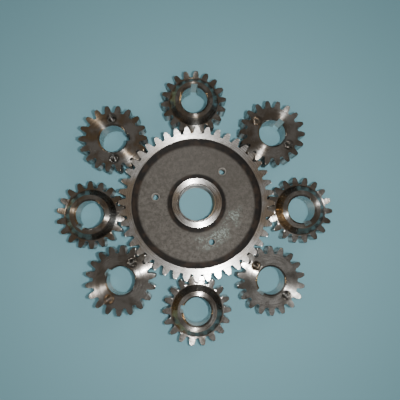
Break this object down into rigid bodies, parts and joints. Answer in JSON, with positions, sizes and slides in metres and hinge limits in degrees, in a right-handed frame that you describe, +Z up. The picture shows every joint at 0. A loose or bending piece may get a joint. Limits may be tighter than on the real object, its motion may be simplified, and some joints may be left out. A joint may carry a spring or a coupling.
{
  "type": "planetary gear set",
  "caption": "Set of spur gears: a large recessed centre gear on a plain bush, ringed by equal pinions in mesh with it, each with a keyed bore, a tapered boss and puller holes.",
  "frame": {"origin": "the centre gear's axis, in the plane that every gear stands on", "axes": "+Z up along the gear axes; +X towards the pinion named east; +Y towards the pinion named north"},
  "size_m": [0.2603, 0.261, 0.0222],
  "materials": {
    "centre_gear_steel": "forged dark web, machined rim, hub and teeth",
    "pinion_steel": "turned faces, hobbed teeth, oiled",
    "bush_steel": "turned, dull"
  },
  "bodies": {
    "centre_bush": {"centre_bush": "bush_steel"},
    "centre_gear": {"centre_gear": "centre_gear_steel"},
    "pinion_east": {"pinion_east": "pinion_steel"},
    "pinion_northeast": {"pinion_northeast": "pinion_steel"},
    "pinion_north": {"pinion_north": "pinion_steel"},
    "pinion_northwest": {"pinion_northwest": "pinion_steel"},
    "pinion_west": {"pinion_west": "pinion_steel"},
    "pinion_southwest": {"pinion_southwest": "pinion_steel"},
    "pinion_south": {"pinion_south": "pinion_steel"},
    "pinion_southeast": {"pinion_southeast": "pinion_steel"}
  },
  "joints": [
    {"name": "centre_gear_spin", "type": "hinge", "parent": "centre_bush", "child": "centre_gear", "pos_m": [0, 0, 0.01], "axis": [0, 0, 1], "continuous": true},
    {"name": "pinion_east_spin", "type": "hinge", "parent": "centre_bush", "child": "pinion_east", "pos_m": [0.09873, -0.00587, 0.01111], "axis": [0, 0, 1], "continuous": true},
    {"name": "pinion_northeast_spin", "type": "hinge", "parent": "centre_bush", "child": "pinion_northeast", "pos_m": [0.07221, 0.06758, 0.01111], "axis": [0, 0, 1], "continuous": true},
    {"name": "pinion_north_spin", "type": "hinge", "parent": "centre_bush", "child": "pinion_north", "pos_m": [-0.00293, 0.09886, 0.01111], "axis": [0, 0, 1], "continuous": true},
    {"name": "pinion_northwest_spin", "type": "hinge", "parent": "centre_bush", "child": "pinion_northwest", "pos_m": [-0.07878, 0.0598, 0.01111], "axis": [0, 0, 1], "continuous": true},
    {"name": "pinion_west_spin", "type": "hinge", "parent": "centre_bush", "child": "pinion_west", "pos_m": [-0.09824, -0.01137, 0.01111], "axis": [0, 0, 1], "continuous": true},
    {"name": "pinion_southwest_spin", "type": "hinge", "parent": "centre_bush", "child": "pinion_southwest", "pos_m": [-0.06883, -0.07102, 0.01111], "axis": [0, 0, 1], "continuous": true},
    {"name": "pinion_south_spin", "type": "hinge", "parent": "centre_bush", "child": "pinion_south", "pos_m": [0.00034, -0.0989, 0.01111], "axis": [0, 0, 1], "continuous": true},
    {"name": "pinion_southeast_spin", "type": "hinge", "parent": "centre_bush", "child": "pinion_southeast", "pos_m": [0.0682, -0.07162, 0.01111], "axis": [0, 0, 1], "continuous": true}
  ],
  "couplings": [
    {"joint": "pinion_east_spin", "follows": "centre_gear_spin", "ratio": -2.4444},
    {"joint": "pinion_northeast_spin", "follows": "centre_gear_spin", "ratio": -2.4444},
    {"joint": "pinion_north_spin", "follows": "centre_gear_spin", "ratio": -2.4444},
    {"joint": "pinion_northwest_spin", "follows": "centre_gear_spin", "ratio": -2.4444},
    {"joint": "pinion_west_spin", "follows": "centre_gear_spin", "ratio": -2.4444},
    {"joint": "pinion_southwest_spin", "follows": "centre_gear_spin", "ratio": -2.4444},
    {"joint": "pinion_south_spin", "follows": "centre_gear_spin", "ratio": -2.4444},
    {"joint": "pinion_southeast_spin", "follows": "centre_gear_spin", "ratio": -2.4444}
  ]
}
